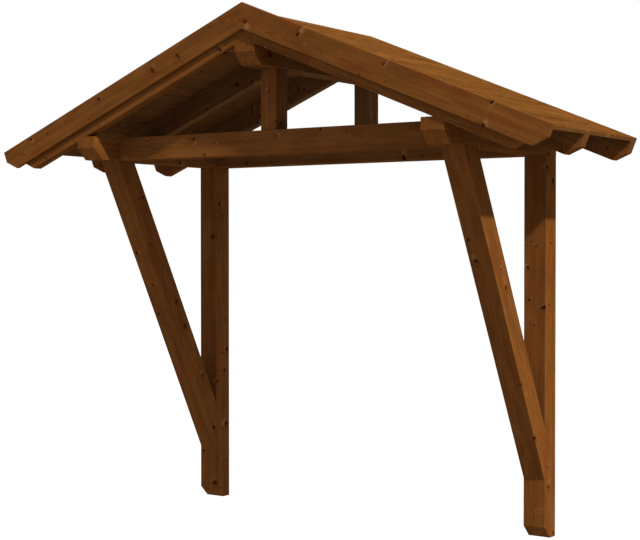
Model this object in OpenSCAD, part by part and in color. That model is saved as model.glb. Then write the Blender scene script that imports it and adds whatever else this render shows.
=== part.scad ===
// Open timber door canopy: two wall posts with diagonal struts carry three purlins,
// three pairs of rafters, two verge boards and a boarded gable roof.
// Origin: middle of the rear tie beam's back face, on the wall.
// +X to the right seen from the front, +Y into the wall, +Z up. Millimetres.

/* [Wall posts] */
// Clear width between the two wall posts
clear_width = 1660; // [1200:10:2400]
// Side of the square wall posts
post_size = 100; // [80:5:140]
// Length of the wall posts
post_length = 1610; // [1200:10:2200]
// Chamfer on the lower front edge of the wall posts
post_chamfer = 50; // [10:5:70]

/* [Struts] */
// Thickness of the struts, square to their length
strut_thickness = 100; // [60:5:130]
// Height of a strut's lower tip above the foot of its post
strut_foot_height = 250; // [60:10:400]

/* [Purlins and tie beams] */
// Length of the purlins, from the wall to their front end
purlin_length = 950; // [700:10:1300]
// Height of the purlins and tie beams
purlin_height = 100; // [80:5:140]
// Width of the ridge purlin
ridge_purlin_width = 100; // [80:5:140]
// Bevel under the front end of the purlins
purlin_bevel = 50; // [10:5:70]
// Thickness of the tie beams, from front to back
tie_thickness = 100; // [80:5:140]
// Distance from the purlins' front end to the front tie beam
tie_set_back = 155; // [60:5:250]
// Side of the square king posts
king_post_size = 80; // [50:5:80]

/* [Rafters] */
// Pitch of the roof, in degrees
roof_pitch = 22; // [16:1:35]
// Depth of the rafters, square to the slope
rafter_depth = 100; // [70:5:140]
// Thickness of the rafters
rafter_thickness = 45; // [30:1:80]
// Eave, from the wall posts' outer face to the rafters' upper end corner
eave_overhang = 355; // [150:5:600]
// Chamfer under the tail of the rafters
rafter_chamfer = 50; // [10:5:65]

/* [Roof boarding and verge boards] */
// Thickness of the roof boarding
deck_thickness = 16; // [12:1:28]
// Depth of the verge boards, square to the slope
verge_depth = 100; // [80:5:180]
// Thickness of the verge boards
verge_thickness = 18; // [12:1:40]
// Rise of the verge boards' lower edge over that of the rafters
verge_rise = 38; // [0:1:60]
// Length by which the verge boards run past the rafters' tails
verge_run_past = 85; // [0:5:200]
// Chamfer under the tail of the verge boards
verge_chamfer = 50; // [10:5:70]

/* [Hidden] */

// Across the front: the posts, struts and side purlins share one pair of faces.
post_inner_x = clear_width / 2;
post_outer_x = post_inner_x + post_size;
post_mid_x = post_inner_x + post_size / 2;

// Heights: the side purlins and the tie beams lie on the same two levels.
purlin_bottom_z = -purlin_height / 2;
purlin_top_z = purlin_height / 2;
post_foot_z = purlin_bottom_z - post_length;

// The rafters' lower edge crosses the middle of each purlin's top.
underside_apex_z = purlin_top_z + post_mid_x * tan(roof_pitch);
ridge_bottom_z = underside_apex_z - purlin_height;

// Front to back.
front_y = -purlin_length;
tie_front_y = front_y + tie_set_back;
tie_mid_y = tie_front_y + tie_thickness / 2;
middle_rafter_back_y = (front_y + rafter_thickness) / 2;

// A strut's axis starts under the middle of the front tie beam, and its front face
// meets the post's front face at the strut's lower tip.
strut_tip_z = post_foot_z + strut_foot_height;
strut_run = -post_size - tie_mid_y;
strut_drop = purlin_bottom_z - strut_tip_z;
strut_tilt = atan(strut_run / strut_drop)
    + asin(strut_thickness / 2 / norm([strut_run, strut_drop]));
strut_top_half = strut_thickness / 2 / cos(strut_tilt);
strut_foot_cut = strut_thickness / sin(strut_tilt);

// Along the slope, measured from the plumb joint on the lower edge's line.
rafter_end = (post_outer_x + eave_overhang - rafter_depth * sin(roof_pitch)) / cos(roof_pitch);
verge_end = rafter_end + verge_run_past;

// Colours of the stained softwood.
POST_COLOUR = [0.36, 0.19, 0.08];
STRUT_COLOUR = [0.40, 0.22, 0.09];
BEAM_COLOUR = [0.38, 0.20, 0.08];
RAFTER_COLOUR = [0.32, 0.17, 0.07];
VERGE_COLOUR = [0.42, 0.23, 0.10];
DECK_COLOUR = [0.48, 0.27, 0.11];

// A point on the right slope: u down the slope, v square to it, from the lower edge's line.
function on_slope(u, v) = [
    u * cos(roof_pitch) + v * sin(roof_pitch),
    underside_apex_z - u * sin(roof_pitch) + v * cos(roof_pitch)
];

// A point above the ridge line, at v square to the slope.
function on_ridge(v) = [0, underside_apex_z + v / cos(roof_pitch)];

// Stands an outline drawn in X and Z between two depths.
module between_depths(y_front, y_back) {
    translate([0, y_back, 0])
        rotate([90, 0, 0])
            linear_extrude(height = y_back - y_front)
                children();
}

// Stands an outline drawn in Y and Z between two widths.
module between_widths(x_left, x_right) {
    translate([x_left, 0, 0])
        rotate([90, 0, 90])
            linear_extrude(height = x_right - x_left)
                children();
}

// side is 1 for the right-hand piece and -1 for its mirror image.
module on_side(side) {
    mirror([side < 0 ? 1 : 0, 0, 0])
        children();
}

// Outline of a rafter-like board on the right slope, from v_low to v_high, plumb cut at
// the ridge and cut square at the end, with a chamfer under its tail.
module slope_outline(v_low, v_high, end, chamfer) {
    polygon([
        on_ridge(v_low),
        on_ridge(v_high),
        on_slope(end, v_high),
        on_slope(end, v_low + chamfer),
        on_slope(end - chamfer, v_low)
    ]);
}

// Cross sections of the two purlins that a right rafter is notched over.
module purlin_sections() {
    translate([post_inner_x, purlin_bottom_z])
        square([post_size, purlin_height]);
    translate([-ridge_purlin_width / 2, ridge_bottom_z])
        square([ridge_purlin_width, purlin_height]);
}

module wall_post(side) {
    color(POST_COLOUR)
        on_side(side)
            between_widths(post_inner_x, post_outer_x)
                polygon([
                    [0, post_foot_z],
                    [0, purlin_bottom_z],
                    [-post_size, purlin_bottom_z],
                    [-post_size, post_foot_z + post_chamfer],
                    [-post_size + post_chamfer, post_foot_z]
                ]);
}

module strut(side) {
    color(STRUT_COLOUR)
        on_side(side)
            between_widths(post_inner_x, post_outer_x)
                polygon([
                    [tie_mid_y - strut_top_half, purlin_bottom_z],
                    [tie_mid_y + strut_top_half, purlin_bottom_z],
                    [-post_size, strut_tip_z + strut_foot_cut],
                    [-post_size, strut_tip_z]
                ]);
}

// Side view of a purlin whose underside lies at bottom_z.
module purlin_outline(bottom_z) {
    polygon([
        [0, bottom_z],
        [0, bottom_z + purlin_height],
        [front_y, bottom_z + purlin_height],
        [front_y, bottom_z + purlin_bevel],
        [front_y + purlin_bevel, bottom_z]
    ]);
}

module side_purlin(side) {
    color(BEAM_COLOUR)
        on_side(side)
            between_widths(post_inner_x, post_outer_x)
                purlin_outline(purlin_bottom_z);
}

module ridge_purlin() {
    color(BEAM_COLOUR)
        between_widths(-ridge_purlin_width / 2, ridge_purlin_width / 2)
            purlin_outline(ridge_bottom_z);
}

module tie_beam(y_front) {
    color(BEAM_COLOUR)
        translate([-post_inner_x, y_front, purlin_bottom_z])
            cube([clear_width, tie_thickness, purlin_height]);
}

module king_post(y_front) {
    color(POST_COLOUR)
        translate([-king_post_size / 2, y_front, purlin_top_z])
            cube([king_post_size, king_post_size, ridge_bottom_z - purlin_top_z]);
}

module rafter(side, y_front) {
    color(RAFTER_COLOUR)
        on_side(side)
            between_depths(y_front, y_front + rafter_thickness)
                difference() {
                    slope_outline(0, rafter_depth, rafter_end, rafter_chamfer);
                    purlin_sections();
                }
}

module verge_board(side) {
    color(VERGE_COLOUR)
        on_side(side)
            between_depths(front_y - verge_thickness, front_y)
                slope_outline(verge_rise, verge_rise + verge_depth, verge_end, verge_chamfer);
}

module roof_deck(side) {
    color(DECK_COLOUR)
        on_side(side)
            between_depths(front_y, 0)
                polygon([
                    on_ridge(rafter_depth),
                    on_ridge(rafter_depth + deck_thickness),
                    on_slope(rafter_end, rafter_depth + deck_thickness),
                    on_slope(rafter_end, rafter_depth)
                ]);
}

module left_wall_post() { wall_post(-1); }
module right_wall_post() { wall_post(1); }
module left_strut() { strut(-1); }
module right_strut() { strut(1); }
module left_purlin() { side_purlin(-1); }
module right_purlin() { side_purlin(1); }
module front_tie_beam() { tie_beam(tie_front_y); }
module rear_tie_beam() { tie_beam(-tie_thickness); }
module front_king_post() { king_post(tie_mid_y - king_post_size / 2); }
module rear_king_post() { king_post(-king_post_size); }
module left_front_rafter() { rafter(-1, front_y); }
module right_front_rafter() { rafter(1, front_y); }
module left_middle_rafter() { rafter(-1, middle_rafter_back_y - rafter_thickness); }
module right_middle_rafter() { rafter(1, middle_rafter_back_y - rafter_thickness); }
module left_rear_rafter() { rafter(-1, -rafter_thickness); }
module right_rear_rafter() { rafter(1, -rafter_thickness); }
module left_verge_board() { verge_board(-1); }
module right_verge_board() { verge_board(1); }
module left_roof_deck() { roof_deck(-1); }
module right_roof_deck() { roof_deck(1); }

left_wall_post();
right_wall_post();
left_strut();
right_strut();
left_purlin();
right_purlin();
ridge_purlin();
front_tie_beam();
rear_tie_beam();
front_king_post();
rear_king_post();
left_front_rafter();
right_front_rafter();
left_middle_rafter();
right_middle_rafter();
left_rear_rafter();
right_rear_rafter();
left_verge_board();
right_verge_board();
left_roof_deck();
right_roof_deck();
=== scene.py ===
"""Open timber door canopy: stained softwood timbers, roof boards and a stage."""

import math
import random
from collections import namedtuple

import bmesh
import bpy
from mathutils import Euler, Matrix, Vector


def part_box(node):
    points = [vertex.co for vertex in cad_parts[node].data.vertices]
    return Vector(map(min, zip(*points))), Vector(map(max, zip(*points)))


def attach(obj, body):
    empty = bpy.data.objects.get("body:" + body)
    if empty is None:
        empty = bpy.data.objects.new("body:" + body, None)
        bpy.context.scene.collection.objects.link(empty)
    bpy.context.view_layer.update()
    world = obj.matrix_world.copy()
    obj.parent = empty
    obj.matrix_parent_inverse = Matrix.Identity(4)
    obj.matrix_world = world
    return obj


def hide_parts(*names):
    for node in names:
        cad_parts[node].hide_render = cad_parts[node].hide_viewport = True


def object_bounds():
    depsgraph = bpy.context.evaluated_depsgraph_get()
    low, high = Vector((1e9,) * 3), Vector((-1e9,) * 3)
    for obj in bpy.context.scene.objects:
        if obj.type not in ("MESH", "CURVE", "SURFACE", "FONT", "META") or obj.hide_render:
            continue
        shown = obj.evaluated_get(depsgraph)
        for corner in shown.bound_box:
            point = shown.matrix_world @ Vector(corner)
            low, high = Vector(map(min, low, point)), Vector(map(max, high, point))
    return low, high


bl_info = {
    "name": "Timber Door Canopy",
    "version": (1, 0, 0),
    "blender": (4, 5, 0),
    "location": "View3D > Sidebar > Canopy",
    "description": "Finishes an open timber door canopy with roof boards and stained softwood",
    "category": "Add Mesh",
}

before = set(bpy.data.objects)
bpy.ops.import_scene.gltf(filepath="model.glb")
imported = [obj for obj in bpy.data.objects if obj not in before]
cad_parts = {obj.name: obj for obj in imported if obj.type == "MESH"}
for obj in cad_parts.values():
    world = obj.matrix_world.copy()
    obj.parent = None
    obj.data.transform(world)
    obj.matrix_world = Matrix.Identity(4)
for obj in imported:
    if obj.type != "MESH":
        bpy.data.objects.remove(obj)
CAD_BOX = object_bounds()
LOW, HIGH = (Vector(corner) for corner in CAD_BOX)

# Points of a CAD mesh closer than this in metres are one, and faces within this angle are one face.
WELD = 1e-5
FLAT = math.radians(1)
# An edge stands outwards past this angle, and it runs along the grain past this cosine.
OUTWARD = math.radians(15)
PARALLEL = 0.999
# A face is cut across the grain past this cosine to it, and sees the sky past this one to upright.
CUT = 0.3
SKYWARD = 0.3


# ---------------------------------------------------------------- settings


class TimberSettings(bpy.types.PropertyGroup):
    """Sizes of the finish on the timbers and the roof boards."""

    long_arris: bpy.props.FloatProperty(
        name="Long arris",
        description="Width of the eased edges along a timber",
        default=0.0028,
        unit="LENGTH",
    )
    cut_arris: bpy.props.FloatProperty(
        name="Cut arris",
        description="Width of the eased edges round a saw cut",
        default=0.0006,
        unit="LENGTH",
    )
    arris_segments: bpy.props.IntProperty(
        name="Arris segments",
        description="Faces across a long eased edge",
        default=3,
        min=1,
    )
    board_cover: bpy.props.FloatProperty(
        name="Board cover",
        description="Width of roof that one board covers, before it is fitted to the slope",
        default=0.096,
        unit="LENGTH",
    )
    board_joint: bpy.props.FloatProperty(
        name="Board joint",
        description="Open joint between two roof boards",
        default=0.0006,
        unit="LENGTH",
    )
    board_vee: bpy.props.FloatProperty(
        name="Board vee",
        description="Width of the chamfer beside each joint on the boards' lower face",
        default=0.0010,
        unit="LENGTH",
    )
    board_tongue: bpy.props.FloatProperty(
        name="Board tongue",
        description="How far the tongue of a roof board reaches into the next one",
        default=0.006,
        unit="LENGTH",
    )
    board_tongue_height: bpy.props.FloatProperty(
        name="Board tongue height",
        description="Thickness of that tongue",
        default=0.005,
        unit="LENGTH",
    )
    board_arris: bpy.props.FloatProperty(
        name="Board arris",
        description="Width of the chamfer beside each joint on the boards' upper face",
        default=0.001,
        unit="LENGTH",
    )


class StainSettings(bpy.types.PropertyGroup):
    """Colours of the stained softwood."""

    early: bpy.props.FloatVectorProperty(
        name="Early wood",
        description="Pale wood between the growth lines",
        subtype="COLOR",
        default=(0.231, 0.0805, 0.0174),
    )
    late: bpy.props.FloatVectorProperty(
        name="Late wood",
        description="Dark growth lines",
        subtype="COLOR",
        default=(0.133, 0.0437, 0.0094),
    )
    red: bpy.props.FloatVectorProperty(
        name="Red wood",
        description="Patches where the stain turned redder",
        subtype="COLOR",
        default=(0.202, 0.0575, 0.0128),
    )
    halo: bpy.props.FloatVectorProperty(
        name="Knot halo",
        description="Pale wood round a knot",
        subtype="COLOR",
        default=(0.370, 0.158, 0.056),
    )
    knot: bpy.props.FloatVectorProperty(
        name="Knot",
        description="Heart of a knot",
        subtype="COLOR",
        default=(0.036, 0.0050, 0.0016),
    )
    young_knot: bpy.props.FloatVectorProperty(
        name="Young knot",
        description="Knot of a thin young branch",
        subtype="COLOR",
        default=(0.072, 0.0150, 0.0040),
    )
    bark: bpy.props.FloatVectorProperty(
        name="Knot rim",
        description="Dark ring round a knot",
        subtype="COLOR",
        default=(0.020, 0.0034, 0.0013),
    )


class StageSettings(bpy.types.PropertyGroup):
    """The light, the floor and the camera."""

    sun_level: bpy.props.FloatProperty(
        name="Key light",
        description="Level of the key light on a surface that faces it",
        default=0.97,
    )
    sun_colour: bpy.props.FloatVectorProperty(
        name="Key light colour",
        description="Colour of the key light",
        subtype="COLOR",
        default=(1.0, 0.985, 0.88),
    )
    sun_turn: bpy.props.FloatProperty(
        name="Key light turn",
        description="Direction of the key light, from the front towards the right",
        subtype="ANGLE",
        default=math.radians(68.5),
    )
    sun_rise: bpy.props.FloatProperty(
        name="Key light rise",
        description="Height of the key light over the horizon",
        subtype="ANGLE",
        default=math.radians(39.5),
    )
    sun_size: bpy.props.FloatProperty(
        name="Key light size",
        description="Angle that the key light fills, which softens its shadows",
        subtype="ANGLE",
        default=math.radians(2.0),
    )
    sky_level: bpy.props.FloatProperty(
        name="Fill light",
        description="Level of the even light from all round",
        default=0.44,
    )
    sky_colour: bpy.props.FloatVectorProperty(
        name="Fill light colour",
        description="Colour of the even light",
        subtype="COLOR",
        default=(0.97, 1.02, 1.27),
    )
    floor_level: bpy.props.FloatProperty(
        name="Floor",
        description="How much light the floor sends back up",
        default=0.33,
    )
    floor_glow: bpy.props.FloatProperty(
        name="Floor glow",
        description="How bright the camera sees the floor where the light doesn't reach",
        default=0.66,
    )
    floor_face: bpy.props.FloatProperty(
        name="Floor face",
        description="How much light on the floor the camera sees, which sets its shadows",
        default=0.40,
    )
    floor_drop: bpy.props.FloatProperty(
        name="Floor drop",
        description="Height of the wall posts' feet above the floor",
        default=0.85,
        unit="LENGTH",
    )
    view_turn: bpy.props.FloatProperty(
        name="View turn",
        description="Direction of the camera, from the front towards the right",
        subtype="ANGLE",
        default=math.radians(34.8),
    )
    view_rise: bpy.props.FloatProperty(
        name="View rise",
        description="Height of the camera over the point that it looks at",
        subtype="ANGLE",
        default=math.radians(0.97),
    )
    view_distance: bpy.props.FloatProperty(
        name="View distance",
        description="Distance of the camera from the point that it looks at",
        default=6.206,
        unit="LENGTH",
    )
    view_aim: bpy.props.FloatVectorProperty(
        name="View aim",
        description="Point that the camera looks at, from the middle of the canopy's box",
        subtype="TRANSLATION",
        default=(0.051, 0.0, 0.019),
    )
    lens: bpy.props.FloatProperty(
        name="Lens",
        description="Focal length of the camera on a 36 mm wide sensor",
        default=81.15,
        unit="CAMERA",
    )


# ---------------------------------------------------------------- shader nodes


class Tree:
    """Adds nodes to one node tree and returns their output sockets."""

    def __init__(self, owner):
        owner.use_nodes = True
        self.tree = owner.node_tree
        self.tree.nodes.clear()

    def node(self, kind, inputs=None, **settings):
        """Adds a node. Inputs are linked where they are sockets, and set where they are values."""
        node = self.tree.nodes.new(kind)
        for name, value in settings.items():
            setattr(node, name, value)
        for key, value in (inputs or {}).items():
            if isinstance(value, bpy.types.NodeSocket):
                self.tree.links.new(value, node.inputs[key])
            else:
                node.inputs[key].default_value = value
        return node

    def maths(self, operation, first, second=0.0, clamp=False):
        inputs = {0: first, 1: second}
        return self.node("ShaderNodeMath", inputs, operation=operation, use_clamp=clamp).outputs[0]

    def product(self, first, *others):
        for other in others:
            first = self.maths("MULTIPLY", first, other)
        return first

    def total(self, first, *others):
        for other in others:
            first = self.maths("ADD", first, other)
        return first

    def shuffled(self, chance, factor):
        """A second random number out of one from 0 to 1."""
        return self.maths("FRACT", self.maths("MULTIPLY", chance, factor))

    def vector(self, operation, first, second=(0.0, 0.0, 0.0), output=0):
        inputs = {0: first, 1: second}
        return self.node("ShaderNodeVectorMath", inputs, operation=operation).outputs[output]

    def scaled(self, vector, factor):
        inputs = {0: vector, "Scale": factor}
        return self.node("ShaderNodeVectorMath", inputs, operation="SCALE").outputs[0]

    def split(self, vector):
        return self.node("ShaderNodeSeparateXYZ", {0: vector}).outputs

    def join(self, x, y, z=0.0):
        return self.node("ShaderNodeCombineXYZ", {0: x, 1: y, 2: z}).outputs[0]

    def length(self, x, y, z=0.0):
        return self.vector("LENGTH", self.join(x, y, z), output="Value")

    def attribute(self, name):
        return self.node("ShaderNodeAttribute", attribute_name=name).outputs

    def noise(self, vector, stretch, detail=2.0, roughness=0.5, output="Fac"):
        place = self.vector("MULTIPLY", vector, stretch)
        inputs = {"Vector": place, "Scale": 1.0, "Detail": detail, "Roughness": roughness}
        return self.node("ShaderNodeTexNoise", inputs).outputs[output]

    def span(self, value, low, high, to_low=0.0, to_high=1.0, smooth=True):
        """Carries value from low..high over to to_low..to_high, and holds it there outside."""
        kind = "SMOOTHSTEP" if smooth else "LINEAR"
        inputs = {
            "Value": value, "From Min": low, "From Max": high, "To Min": to_low, "To Max": to_high,
        }
        return self.node("ShaderNodeMapRange", inputs, interpolation_type=kind).outputs[0]

    def mixed(self, factor, first, second):
        inputs = {0: factor, 6: first, 7: second}
        return self.node("ShaderNodeMix", inputs, data_type="RGBA").outputs[2]


def rgba(colour):
    """A colour with an alpha of 1, as colour sockets take it."""
    return (*colour, 1.0)


# ---------------------------------------------------------------- stained softwood


# In metres: a year's ring, the length of log that holds one branch or one pin knot, the radius of
# the thinnest branch, and the radii of the thinnest and thickest pin knots.
RING_WIDTH = 0.0030
BRANCH_SPACING = 0.17
BRANCH_THIN = 0.0030
PIN_SPACING = 0.085
PIN_THIN = 0.0012
PIN_THICK = 0.0036

# The radius in cells of the pattern of branches where it is wrapped round the log, and how far a
# branch leans along the log for each metre outwards.
BRANCH_TURNS = 0.72
BRANCH_LEAN = 0.35

# Features in a metre, along the grain and both ways across it, and features in a year for the runs
# of wet and dry years.
BEND = (0.9, 5.0, 5.0)
WAVE = (5.0, 34.0, 34.0)
STREAK = (0.8, 55.0, 55.0)
CLOUD = (4.5, 17.0, 17.0)
MOTTLE = (6.0, 24.0, 24.0)
FIBRE = (14.0, 900.0, 900.0)
FLECK = (26.0, 230.0, 230.0)
RAGGED = (110.0, 190.0, 190.0)
YEAR_RUNS = (0.23, 1.0, 1.0)

# How far, in metres, the bend and the wave carry the grain sideways.
BEND_SWAY = (0.0, 0.030, 0.030)
WAVE_SWAY = (0.0, 0.005, 0.005)

# Shade is painted under the roof between these distances behind the front and these heights.
SHADE_BEHIND = (0.15, 0.29)
SHADE_ABOVE = (-0.07, 0.03)

# Where the pale flare and the shaded flame lie beside a knot, along and across the grain, and their
# half lengths and half widths, all in radii of the knot.
FLARE_AHEAD = (1.9, 0.2)
FLARE_ASIDE = (-1.9, 1.9)
FLARE_SIZE = (2.5, 2.6)
FLAME_PLACE = (-0.9, -0.3)
FLAME_SIZE = (4.2, 1.8)

# Relief of the planed surface in metres, and its roughness. The stain is matt, so it has no gloss.
LATE_RELIEF = 0.00012
FIBRE_RELIEF = 0.00010
KNOT_RELIEF = -0.00035
ROUGHNESS = 0.62
GLOSS = 0.0

Branch = namedtuple("Branch", "ahead aside radius chance other")


def swayed(tree, place, size, detail, sway):
    """How far a soft noise carries each place sideways."""
    noise = tree.noise(place, size, detail=detail, output="Color")
    return tree.vector("MULTIPLY", tree.vector("SUBTRACT", noise, (0.5, 0.5, 0.5)), sway)


def wandering_log(tree, place):
    """The log's own coordinates, bent a little as a tree grows."""
    bent = tree.vector("ADD", place, swayed(tree, place, BEND, 1.0, BEND_SWAY))
    return tree.vector("ADD", bent, swayed(tree, place, WAVE, 2.0, WAVE_SWAY))


def nearest_branch(tree, place, spacing, thin, thick):
    """The nearest of the branches that grow outwards from the log's heart, one in each cell of a
    pattern wrapped round it: how far it lies along and across the grain in units of its radius,
    that radius, and two random numbers that belong to it."""
    x, y, z = tree.split(place)
    depth = tree.length(0.0, y, z)
    _, out_y, out_z = tree.split(tree.vector("NORMALIZE", tree.join(0.0, y, z)))
    lean = tree.product(depth, BRANCH_LEAN)
    along = tree.maths("DIVIDE", tree.maths("SUBTRACT", x, lean), spacing)
    cell = tree.join(along, tree.product(out_y, BRANCH_TURNS), tree.product(out_z, BRANCH_TURNS))
    inputs = {"Vector": cell, "Scale": 1.0, "Randomness": 1.0}
    pattern = tree.node("ShaderNodeTexVoronoi", inputs).outputs
    centre_x, centre_y, centre_z = tree.split(pattern["Position"])
    _, way_y, way_z = tree.split(tree.vector("NORMALIZE", tree.join(0.0, centre_y, centre_z)))
    ahead = tree.product(tree.maths("SUBTRACT", along, centre_x), spacing)
    aside = tree.maths("SUBTRACT", tree.product(y, way_z), tree.product(z, way_y))
    chance, size, other = tree.split(pattern["Color"])
    # Thin branches are the more common, and each grows thicker outwards.
    radius = tree.span(tree.maths("POWER", size, 1.4), 0.0, 1.0, thin, thick, smooth=False)
    radius = tree.product(radius, tree.span(depth, 0.0, 0.08, 0.5, 1.15, smooth=False))
    ahead, aside = (tree.maths("DIVIDE", way, radius) for way in (ahead, aside))
    return Branch(ahead, aside, radius, chance, other)


def oval_patch(tree, ahead, aside, place, size):
    """1 in the middle of a patch that lies ahead of a branch and beside it, and 0 round it."""
    along = tree.maths("DIVIDE", tree.maths("SUBTRACT", ahead, place[0]), size[0])
    across = tree.maths("DIVIDE", tree.maths("SUBTRACT", aside, place[1]), size[1])
    return tree.span(tree.length(along, across), 0.15, 1.0, 1.0, 0.0)


def under_roof(tree):
    """Painted shade: 1 on faces turned down or sideways under the roof, and 0 in the open."""
    _, behind, above = tree.split(tree.node("ShaderNodeTexCoord").outputs["Object"])
    behind = tree.span(behind, *(LOW.y + distance for distance in SHADE_BEHIND))
    above = tree.span(above, *SHADE_ABOVE)
    return tree.product(behind, above, tree.attribute("lower_side")["Fac"])


def ring_swell(tree, near, grown, radius):
    """How far the rings swell outwards round a branch, which draws an eye in the grain."""
    reach = tree.maths("DIVIDE", near, 2.1)
    swell = tree.maths("POWER", math.e, tree.product(reach, reach, -1.0))
    return tree.product(swell, grown, tree.product(radius, 1.5))


def growth_rings(tree, bent, swell, figure):
    """The late wood of each ring, and how dark the ring and its run of wet or dry years are."""
    _, y, z = tree.split(bent)
    years = tree.maths("DIVIDE", tree.total(tree.length(0.0, y, z), swell), RING_WIDTH)
    phase = tree.maths("FRACT", years)
    late = tree.product(tree.span(phase, 0.35, 0.86), tree.span(phase, 0.93, 1.0, 1.0, 0.0))
    runs = tree.noise(tree.join(years, 0.0), YEAR_RUNS)
    late = tree.product(late, tree.span(runs, 0.25, 0.75, 0.35, 1.0))
    dark_runs = tree.span(runs, 0.3, 0.8, 0.0, 0.20 * figure)
    return late, tree.total(tree.product(late, 0.70 * figure), dark_runs)


def stain_level(tree, place, cloud, mottle, fibre, end_cut, tone, figure):
    """How pale the stain came out: streaks, clouds, mottles and fibres, the timber's batch, darker
    square end grain, worn arrises, and painted light from below on oblique cuts such as bevels."""
    streak = tree.noise(place, STREAK, detail=3.0, roughness=0.55)
    batch_tone, _, _ = tree.split(tree.attribute("batch")["Vector"])
    arris = tree.attribute("arris")["Fac"]
    depth = 0.16 * figure
    return tree.product(
        tree.span(streak, 0.25, 0.75, 1.0 - depth, 1.0 + depth, smooth=False),
        tree.span(cloud, 0.25, 0.75, 0.83, 1.17, smooth=False),
        tree.span(mottle, 0.3, 0.7, 0.91, 1.09, smooth=False),
        tree.span(fibre, 0.2, 0.8, 0.93, 1.07, smooth=False),
        tree.product(batch_tone, tone),
        # Bevels and other oblique cuts: painted light from below. Square end grain: darker.
        tree.span(end_cut, 0.2, 0.6, 1.0, 1.13),
        tree.span(end_cut, 0.75, 0.95, 1.0, 0.84),
        tree.span(arris, 0.0, 1.0, 1.0, 1.08, smooth=False),
    )


def knotted(tree, wood, stain, place, branch, near, grown, end_cut):
    """Draws knots: pale wood on one side, a shaded flame on the other, then a rim and a red-brown
    heart. Returns the wood and where the knots are."""
    ragged = tree.noise(place, RAGGED)
    ragged = tree.span(ragged, 0.25, 0.75, -0.32, 0.32, smooth=False)
    sound = tree.maths("SUBTRACT", 1.0, end_cut)
    shift = tree.span(branch.other, 0.0, 1.0, *FLARE_AHEAD, smooth=False)
    drift = tree.span(tree.shuffled(branch.other, 7.3), 0.0, 1.0, *FLARE_ASIDE, smooth=False)
    aside = tree.total(branch.aside, ragged)
    pale = tree.product(
        oval_patch(tree, branch.ahead, aside, (shift, drift), FLARE_SIZE),
        tree.span(tree.shuffled(branch.chance, 9.1), 0.1, 0.8),
        sound,
        tree.span(grown, 0.0, 1.0, 0.2, 0.80),
    )
    wood = tree.mixed(pale, wood, rgba(stain.halo))
    flame = oval_patch(tree, branch.ahead, branch.aside, FLAME_PLACE, FLAME_SIZE)
    wood = tree.mixed(tree.product(flame, grown, 0.55), wood, rgba(stain.late))
    near = tree.total(near, ragged)
    knot = tree.product(tree.span(near, 0.80, 1.15, 1.0, 0.0), grown)
    heart = tree.span(near, 0.35, 0.85, 1.0, 0.0)
    old = tree.mixed(heart, rgba(stain.bark), rgba(stain.knot))
    core = tree.mixed(tree.span(branch.other, 0.25, 0.75), rgba(stain.young_knot), old)
    return tree.mixed(tree.product(knot, 0.92), wood, core), knot


def pin_knots(tree, bent):
    """How strongly the small knots of thin shoots show. Some are drawn out across the grain."""
    shoot = nearest_branch(tree, bent, PIN_SPACING, PIN_THIN, PIN_THICK)
    aside = tree.product(shoot.aside, tree.span(shoot.other, 0.2, 0.8, 0.35, 1.0))
    near = tree.length(shoot.ahead, aside)
    return tree.product(tree.span(near, 0.7, 1.5, 0.7, 0.0), tree.span(shoot.chance, 0.55, 0.85))


def stained_softwood(
    slot, stain, tone=1.0, painted_sheen=(1.0, 1.0, 1.0), shade=(1.0, 1.28, 1.9), figure=1.0, knots=0.010,
    clear=0.36,
):
    """Planed softwood under a brown stain, cut from a log with rings and branches."""
    material = bpy.data.materials.new(stained(slot))
    tree = Tree(material)
    place = tree.attribute("log_place")["Vector"]
    end_cut = tree.attribute("end_cut")["Fac"]
    bent = wandering_log(tree, place)
    branch = nearest_branch(tree, place, BRANCH_SPACING, BRANCH_THIN, knots)
    near = tree.length(branch.ahead, branch.aside)
    grown = tree.maths("GREATER_THAN", branch.chance, clear)

    cloud = tree.noise(place, CLOUD, detail=3.0, roughness=0.6)
    fibre = tree.noise(place, FIBRE)
    _, redness, mottle = tree.split(tree.noise(place, MOTTLE, output="Color"))
    swell = ring_swell(tree, near, grown, branch.radius)
    late, darkness = growth_rings(tree, bent, swell, figure)
    wood = tree.mixed(darkness, rgba(stain.early), rgba(stain.late))
    wood = tree.mixed(tree.span(redness, 0.50, 0.68, 0.0, 0.8), wood, rgba(stain.red))
    level = stain_level(tree, place, cloud, mottle, fibre, end_cut, tone, figure)
    # Painted sheen in the open and painted shade under the roof, multiplied into the colour.
    turned = tree.mixed(under_roof(tree), rgba(painted_sheen), rgba(shade))
    wood = tree.vector("MULTIPLY", tree.scaled(wood, level), turned)

    # Short resin flecks along the grain.
    fleck = tree.noise(bent, FLECK, detail=1.0)
    wood = tree.mixed(tree.span(fleck, 0.66, 0.76, 0.0, 0.45), wood, rgba(stain.young_knot))
    wood, knot = knotted(tree, wood, stain, place, branch, near, grown, end_cut)
    wood = tree.mixed(pin_knots(tree, bent), wood, rgba(stain.young_knot))

    height = tree.total(
        tree.product(late, LATE_RELIEF),
        tree.product(fibre, FIBRE_RELIEF),
        tree.product(knot, KNOT_RELIEF),
    )
    inputs = {"Height": height, "Strength": 1.0, "Distance": 1.0}
    bump = tree.node("ShaderNodeBump", inputs).outputs[0]
    rough = tree.total(
        ROUGHNESS, tree.product(late, -0.08), tree.span(cloud, 0.2, 0.8, -0.05, 0.06, smooth=False)
    )
    rough = tree.maths("ADD", rough, tree.product(end_cut, 0.15), clamp=True)
    inputs = {"Base Color": wood, "Roughness": rough, "Specular IOR Level": GLOSS, "Normal": bump}
    surface = tree.node("ShaderNodeBsdfPrincipled", inputs)
    tree.node("ShaderNodeOutputMaterial", {"Surface": surface.outputs[0]})
    return material
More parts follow.
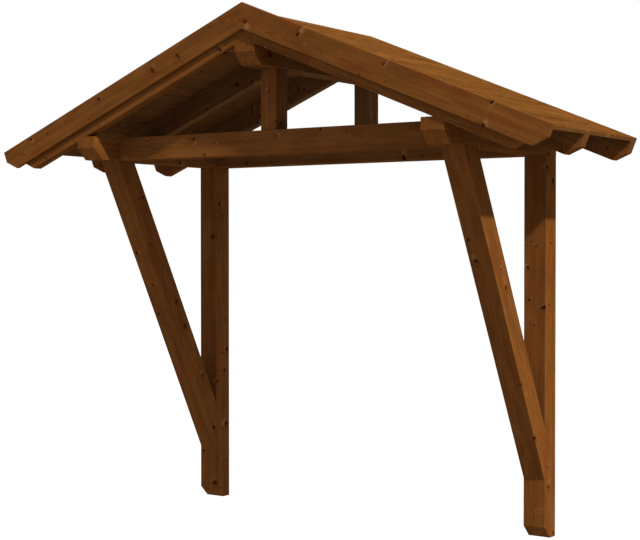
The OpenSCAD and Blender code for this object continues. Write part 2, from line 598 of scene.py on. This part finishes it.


# tone lifts or lowers a slot's colour, and the two colours after it are a painted sheen in the open
# and painted shade under the roof. figure strengthens its grain, knots is the radius of its
# thickest branches, and clear is the share of them that don't show.
FINISHES = {
    "post_timber": {"tone": 1.0},
    "strut_timber": {"tone": 1.0},
    "beam_timber": {"tone": 1.02, "knots": 0.0115, "clear": 0.18},
    "rafter_timber": {"tone": 0.95},
    "verge_timber": {"tone": 0.98, "knots": 0.0125, "clear": 0.26},
    # Roof boards: a yellower painted sheen in the open, and a cooler painted shade under the roof.
    "roof_boarding": {
        "tone": 1.02, "painted_sheen": (1.0, 1.09, 1.03), "shade": (0.96, 1.10, 1.40), "figure": 1.5,
    },
}


def stained(slot):
    """The name of a slot's material."""
    return "stained_" + slot


def finish_of(slot):
    """The material of a slot, made once."""
    made = bpy.data.materials.get(stained(slot))
    return made or stained_softwood(slot, bpy.context.scene.canopy_stain, **FINISHES[slot])


# ---------------------------------------------------------------- timbers


# What the wood is drawn from. A point has its place in its log and its batch, a tone and two spare
# random numbers. A face has how squarely it is cut, whether it is an arris, and whether it is
# turned from the sky, where shade is painted under the roof.
POINT_LAYERS = ("log_place", "batch")
FACE_LAYERS = ("end_cut", "arris", "lower_side")

# Where along its log, in metres, a piece may begin.
LOG_START = (2.0, 40.0)
# How pale a timber's batch and a roof board's batch may be.
TIMBER_TONES = (0.98, 1.03)
BOARD_TONES = (0.9, 1.1)


def new_shape():
    """An empty shape with the layers that the wood is drawn from. Adding a layer drops every
    reference to a shape's points and faces, so they are all there from the start."""
    shape = bmesh.new()
    for name in POINT_LAYERS:
        shape.verts.layers.float_vector.new(name)
    for name in FACE_LAYERS:
        shape.faces.layers.float.new(name)
    return shape


def cad_shape(node):
    """A merged copy of a CAD node's mesh with its flat faces whole."""
    shape = new_shape()
    shape.from_mesh(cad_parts[node].data)
    bmesh.ops.remove_doubles(shape, verts=shape.verts, dist=WELD)
    bmesh.ops.dissolve_limit(shape, angle_limit=FLAT, verts=shape.verts, edges=shape.edges)
    return shape


def grain_axes(shape):
    """Directions along the grain, across the timber level with the ground or the wall, and square
    to both. The grain runs along the longest edge."""
    longest = max(shape.edges, key=lambda edge: edge.calc_length())
    along = (longest.verts[1].co - longest.verts[0].co).normalized()
    if along.z < -0.5 or along.x < -0.5 or along.y < -0.5:
        along.negate()
    level = Vector((1, 0, 0)) if abs(along.x) < 0.01 else Vector((0, 1, 0))
    return along, level, along.cross(level).normalized()


def middle_of(points, axes):
    """The middle of some points, measured along each of three axes."""
    centre = Vector()
    for axis in axes:
        reach = [point.dot(axis) for point in points]
        centre += axis * (min(reach) + max(reach)) / 2
    return centre


def ease_edges(shape, along, long_arris, cut_arris, segments):
    """Rounds the outward edges along the grain, and eases those round the saw cuts."""
    arris = shape.faces.layers.float["arris"]

    def outward(edge):
        return edge.is_manifold and edge.calc_face_angle_signed(0) > OUTWARD

    def runs_along(edge):
        return abs((edge.verts[1].co - edge.verts[0].co).normalized().dot(along)) > PARALLEL

    def bevel(edges, offset, segments):
        made = bmesh.ops.bevel(
            shape, geom=edges, offset=offset, segments=segments,
            affect="EDGES", profile=0.5, material=-1, clamp_overlap=True,
        )
        for face in made["faces"]:
            face[arris] = 1.0

    edges = [edge for edge in shape.edges if outward(edge)]
    bevel([edge for edge in edges if runs_along(edge)], long_arris, segments)
    plain = [face for face in shape.faces if face[arris] == 0]
    cuts = {face for face in plain if abs(face.normal.dot(along)) > CUT}
    edges = [edge for edge in shape.edges if outward(edge)]
    bevel([edge for edge in edges if not cuts.isdisjoint(edge.link_faces)], cut_arris, 1)


def write_grain(shape, faces, axes, centre, heart, batch):
    """Writes for each point its place in the log and its batch, and for each face how squarely it
    is cut across the grain."""
    place, lot = (shape.verts.layers.float_vector[name] for name in POINT_LAYERS)
    end_cut = shape.faces.layers.float["end_cut"]
    for vert in {vert for face in faces for vert in face.verts}:
        offset = vert.co - centre
        vert[place] = Vector([offset.dot(axis) for axis in axes]) + heart
        vert[lot] = batch
    for face in faces:
        face.normal_update()
        cut = abs(face.normal.dot(axes[0]))
        face[end_cut] = cut if cut > CUT else 0.0


def finished_piece(name, shape, slot, *nodes):
    """Turns a shape into a piece that rides on the canopy and stands for its CAD nodes, and marks
    the faces that don't see the sky above, which get painted shade under the roof."""
    lower_side = shape.faces.layers.float["lower_side"]
    for face in shape.faces:
        face.normal_update()
        face[lower_side] = 1.0 if face.normal.z < SKYWARD else 0.0
    mesh = bpy.data.meshes.new(name)
    shape.to_mesh(mesh)
    shape.free()
    if "custom_normal" in mesh.attributes:
        mesh.attributes.remove(mesh.attributes["custom_normal"])
    piece = bpy.data.objects.new(name, mesh)
    bpy.context.scene.collection.objects.link(piece)
    mesh.materials.append(finish_of(slot))
    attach(piece, "root")
    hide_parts(*nodes)
    return piece


def timber(node, slot, heart_low, heart_high):
    """Finishes one CAD timber. The heart of its log lies between heart_low and heart_high from the
    middle of its section."""
    sizes = bpy.context.scene.canopy_timber
    chance = random.Random(node)
    shape = cad_shape(node)
    axes = grain_axes(shape)
    centre = middle_of([vert.co for vert in shape.verts], axes)
    ease_edges(shape, axes[0], sizes.long_arris, sizes.cut_arris, sizes.arris_segments)
    heart = Vector((
        chance.uniform(*LOG_START),
        chance.uniform(heart_low[0], heart_high[0]),
        chance.uniform(heart_low[1], heart_high[1]),
    ))
    batch = Vector((chance.uniform(*TIMBER_TONES), chance.random(), chance.random()))
    write_grain(shape, shape.faces, axes, centre, heart, batch)
    return finished_piece(node + "_timber", shape, slot, node)


# Where the heart of the log may lie, in metres from the middle of the section in the two directions
# across the grain: one corner of that field, and the other.
SQUARE_HEART = ((0.012, -0.030), (0.030, 0.030))
RAFTER_HEART = ((0.030, -0.040), (0.050, 0.040))
BOARD_HEART = ((0.035, -0.045), (0.070, 0.045))


def both_sides(pattern):
    """The names of the left and the right node of a pair."""
    return [pattern.format(side) for side in ("left", "right")]


# ---------------------------------------------------------------- roof boards


# Where the heart of a roof board's log may lie, in metres: across the board from its middle, and
# above or below it.
BOARD_SWAY = (-0.04, 0.04)
BOARD_DEPTH = (0.03, 0.08)


def slope_of(side):
    """The directions down one slope, towards the wall and square out of the roof, and the corners
    of the deck's slab."""
    shape = cad_shape(f"{side}_roof_deck")
    edges = [edge for edge in shape.edges if abs(edge.verts[0].co.y - edge.verts[1].co.y) < WELD]
    longest = max(edges, key=lambda edge: edge.calc_length())
    top, foot = sorted((vert.co.copy() for vert in longest.verts), key=lambda point: -point.z)
    down = (foot - top).normalized()
    back = Vector((0, 1, 0))
    out = down.cross(back)
    if out.z < 0:
        out.negate()
    corners = [vert.co.copy() for vert in shape.verts]
    shape.free()
    return down, back, out, corners


def tongue(edge, reach, middle, half):
    """Corners of a tongue that stands out of a board's edge, from the lower side up."""
    tip, low, high = edge + reach, middle - half, middle + half
    return [(edge, low), (tip, low), (tip, high), (edge, high)]


def board_section(sizes, head, tail, lower, upper, first, last):
    """Corners of one board's section, given down the slope and out of the roof. The first board has
    no groove and the last one no tongue."""
    vee, ease = sizes.board_vee, sizes.board_arris
    middle, half = (lower + upper) / 2, sizes.board_tongue_height / 2
    section = [(head, lower + vee), (head + vee, lower), (tail - vee, lower), (tail, lower + vee)]
    if not last:
        section += tongue(tail, sizes.board_tongue, middle, half)
    section += [(tail, upper - ease), (tail - ease, upper)]
    section += [(head + ease, upper), (head, upper - ease)]
    if not first:
        play = sizes.board_joint / 2
        section += reversed(tongue(head, sizes.board_tongue + play, middle, half + play))
    return section


def roof_boards(side):
    """Tongued boards laid level along one slope in place of the deck's slab."""
    sizes = bpy.context.scene.canopy_timber
    node = f"{side}_roof_deck"
    down, back, out, corners = slope_of(side)
    front, rear = (corner[1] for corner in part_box(node))
    heights = [corner.dot(out) for corner in corners]
    upper, lower = max(heights), min(heights)
    # The plumb joint at the ridge leans across the slab, so the top board starts at its far reach.
    along = [corner.dot(down) for corner in corners]
    start, end = min(along), max(along)
    count = round((end - start) / sizes.board_cover)
    cover = (end - start) / count
    shape = new_shape()
    chance = random.Random(node)
    for index in range(count):
        head = start + index * cover + sizes.board_joint / 2
        tail = start + (index + 1) * cover - sizes.board_joint / 2
        section = board_section(sizes, head, tail, lower, upper, index == 0, index == count - 1)
        verts = [shape.verts.new(down * u + out * v + back * front) for u, v in section]
        face = shape.faces.new(verts)
        run = bmesh.ops.extrude_face_region(shape, geom=[face])["geom"]
        moved = [item for item in run if isinstance(item, bmesh.types.BMVert)]
        bmesh.ops.translate(shape, verts=moved, vec=back * (rear - front))
        faces = list({face for vert in verts + moved for face in vert.link_faces})
        centre = down * (head + tail) / 2 + out * (upper + lower) / 2
        heart = Vector((
            chance.uniform(*LOG_START),
            chance.uniform(*BOARD_SWAY),
            chance.uniform(*BOARD_DEPTH) * chance.choice((-1, 1)),
        ))
        batch = Vector((chance.uniform(*BOARD_TONES), chance.random(), chance.random()))
        write_grain(shape, faces, (back, down, out), centre, heart, batch)
    # Plumb cut at the ridge.
    bmesh.ops.bisect_plane(
        shape, geom=shape.verts[:] + shape.edges[:] + shape.faces[:], plane_co=(0, 0, 0),
        plane_no=(-1 if side == "right" else 1, 0, 0), clear_outer=True,
    )
    open_edges = [edge for edge in shape.edges if edge.is_boundary]
    bmesh.ops.holes_fill(shape, edges=open_edges, sides=0)
    bmesh.ops.recalc_face_normals(shape, faces=shape.faces)
    return finished_piece(f"{side}_roof_boards", shape, "roof_boarding", node)


# ---------------------------------------------------------------- stage


WHITE = (1.0, 1.0, 1.0, 1.0)
# In metres: from the middle of the floor to its edge, and as far as the camera sees.
FLOOR_REACH = 60.0
VIEW_REACH = 200.0
# In millimetres.
SENSOR_WIDTH = 36.0


def lit_only_for_camera(tree, shown, other):
    """Mixes two shaders: one that the camera and reflections see, and one that lights the rest."""
    path = tree.node("ShaderNodeLightPath").outputs
    seen = tree.maths("ADD", path["Is Camera Ray"], path["Is Glossy Ray"])
    seen = tree.maths("ADD", seen, path["Is Transmission Ray"], clamp=True)
    return tree.node("ShaderNodeMixShader", {0: seen, 1: other, 2: shown}).outputs[0]


def make_world(stage):
    """Even light from all round, and a white background."""
    world = bpy.data.worlds.new("even_light")
    tree = Tree(world)
    white = tree.node("ShaderNodeBackground", {"Color": WHITE, "Strength": 1.0}).outputs[0]
    inputs = {"Color": rgba(stage.sky_colour), "Strength": stage.sky_level}
    fill = tree.node("ShaderNodeBackground", inputs).outputs[0]
    tree.node("ShaderNodeOutputWorld", {"Surface": lit_only_for_camera(tree, white, fill)})
    bpy.context.scene.world = world


def make_floor(stage):
    """A floor that looks nearly white and keeps the canopy's shadow, but lights it like a grey
    one."""
    shape = bmesh.new()
    bmesh.ops.create_grid(shape, x_segments=1, y_segments=1, size=FLOOR_REACH)
    bmesh.ops.translate(shape, verts=shape.verts, vec=(0, 0, LOW.z - stage.floor_drop))
    mesh = bpy.data.meshes.new("floor")
    shape.to_mesh(mesh)
    shape.free()
    floor = bpy.data.objects.new("floor", mesh)
    bpy.context.scene.collection.objects.link(floor)
    material = bpy.data.materials.new("pale_floor")
    tree = Tree(material)
    plain, pale = (
        tree.node("ShaderNodeBsdfDiffuse", {"Color": (level, level, level, 1)}).outputs[0]
        for level in (stage.floor_level, stage.floor_face)
    )
    inputs = {"Color": WHITE, "Strength": stage.floor_glow}
    glow = tree.node("ShaderNodeEmission", inputs).outputs[0]
    shown = tree.node("ShaderNodeAddShader", {0: glow, 1: pale}).outputs[0]
    tree.node("ShaderNodeOutputMaterial", {"Surface": lit_only_for_camera(tree, shown, plain)})
    mesh.materials.append(material)


def make_sun(stage):
    """The key light. A strength of pi lights a surface that faces it at level 1."""
    lamp = bpy.data.lights.new("key_light", "SUN")
    lamp.energy = stage.sun_level * math.pi
    lamp.color = stage.sun_colour
    lamp.angle = stage.sun_size
    sun = bpy.data.objects.new("key_light", lamp)
    sun.rotation_euler = Euler((math.pi / 2 - stage.sun_rise, 0, stage.sun_turn))
    bpy.context.scene.collection.objects.link(sun)


def make_camera(stage):
    """The camera, turned to its aim and set back from it."""
    optics = bpy.data.cameras.new("camera")
    optics.sensor_width = SENSOR_WIDTH
    optics.lens = stage.lens
    optics.clip_end = VIEW_REACH
    camera = bpy.data.objects.new("camera", optics)
    turn = Euler((math.pi / 2 - stage.view_rise, 0, stage.view_turn))
    aim = (LOW + HIGH) / 2 + Vector(stage.view_aim)
    camera.rotation_euler = turn
    camera.location = aim + turn.to_matrix() @ Vector((0, 0, stage.view_distance))
    bpy.context.scene.collection.objects.link(camera)
    bpy.context.scene.camera = camera


# ---------------------------------------------------------------- operators


class CANOPY_OT_wall_posts(bpy.types.Operator):
    """Finish the two wall posts"""

    bl_idname = "canopy.wall_posts"
    bl_label = "Wall Posts"

    def execute(self, context):
        for node in both_sides("{}_wall_post"):
            timber(node, "post_timber", *SQUARE_HEART)
        return {"FINISHED"}


class CANOPY_OT_struts(bpy.types.Operator):
    """Finish the two struts"""

    bl_idname = "canopy.struts"
    bl_label = "Struts"

    def execute(self, context):
        for node in both_sides("{}_strut"):
            timber(node, "strut_timber", *SQUARE_HEART)
        return {"FINISHED"}


class CANOPY_OT_beams(bpy.types.Operator):
    """Finish the purlins and the tie beams"""

    bl_idname = "canopy.beams"
    bl_label = "Purlins and Tie Beams"

    def execute(self, context):
        for node in (*both_sides("{}_purlin"), "ridge_purlin", "front_tie_beam", "rear_tie_beam"):
            timber(node, "beam_timber", *SQUARE_HEART)
        return {"FINISHED"}


class CANOPY_OT_king_posts(bpy.types.Operator):
    """Finish the two king posts"""

    bl_idname = "canopy.king_posts"
    bl_label = "King Posts"

    def execute(self, context):
        for node in ("front_king_post", "rear_king_post"):
            timber(node, "post_timber", *SQUARE_HEART)
        return {"FINISHED"}


class CANOPY_OT_rafters(bpy.types.Operator):
    """Finish the three pairs of rafters"""

    bl_idname = "canopy.rafters"
    bl_label = "Rafters"

    def execute(self, context):
        for place in ("front", "middle", "rear"):
            for node in both_sides("{}_" + place + "_rafter"):
                timber(node, "rafter_timber", *RAFTER_HEART)
        return {"FINISHED"}


class CANOPY_OT_verge_boards(bpy.types.Operator):
    """Finish the two verge boards"""

    bl_idname = "canopy.verge_boards"
    bl_label = "Verge Boards"

    def execute(self, context):
        for node in both_sides("{}_verge_board"):
            timber(node, "verge_timber", *BOARD_HEART)
        return {"FINISHED"}


class CANOPY_OT_roof_boards(bpy.types.Operator):
    """Lay the roof boards on both slopes"""

    bl_idname = "canopy.roof_boards"
    bl_label = "Roof Boards"

    def execute(self, context):
        for side in ("left", "right"):
            roof_boards(side)
        return {"FINISHED"}


class CANOPY_OT_stage(bpy.types.Operator):
    """Set up the floor, the light and the camera"""

    bl_idname = "canopy.stage"
    bl_label = "Stage"

    def execute(self, context):
        stage = context.scene.canopy_stage
        context.scene.view_settings.view_transform = "Standard"
        make_camera(stage)
        make_world(stage)
        make_sun(stage)
        make_floor(stage)
        return {"FINISHED"}


STEPS = (
    CANOPY_OT_stage,
    CANOPY_OT_wall_posts,
    CANOPY_OT_struts,
    CANOPY_OT_beams,
    CANOPY_OT_king_posts,
    CANOPY_OT_rafters,
    CANOPY_OT_verge_boards,
    CANOPY_OT_roof_boards,
)

SETTINGS = {
    "canopy_timber": TimberSettings,
    "canopy_stain": StainSettings,
    "canopy_stage": StageSettings,
}


class CANOPY_PT_sidebar(bpy.types.Panel):
    """Lists the canopy's settings and the operators that build it"""

    bl_idname = "CANOPY_PT_sidebar"
    bl_label = "Timber Door Canopy"
    bl_space_type = "VIEW_3D"
    bl_region_type = "UI"
    bl_category = "Canopy"

    def draw(self, context):
        for step in STEPS:
            self.layout.operator(step.bl_idname)
        for name, group in SETTINGS.items():
            box = self.layout.box()
            for setting in group.__annotations__:
                box.prop(getattr(context.scene, name), setting)


CLASSES = (*SETTINGS.values(), *STEPS, CANOPY_PT_sidebar)


def register():
    for cls in CLASSES:
        bpy.utils.register_class(cls)
    for name, group in SETTINGS.items():
        setattr(bpy.types.Scene, name, bpy.props.PointerProperty(type=group))


def unregister():
    for name in SETTINGS:
        delattr(bpy.types.Scene, name)
    for cls in reversed(CLASSES):
        bpy.utils.unregister_class(cls)


def main():
    register()
    for step in STEPS:
        family, name = step.bl_idname.split(".")
        getattr(getattr(bpy.ops, family), name)()
    bpy.context.view_layer.update()


if __name__ == "__main__":
    main()
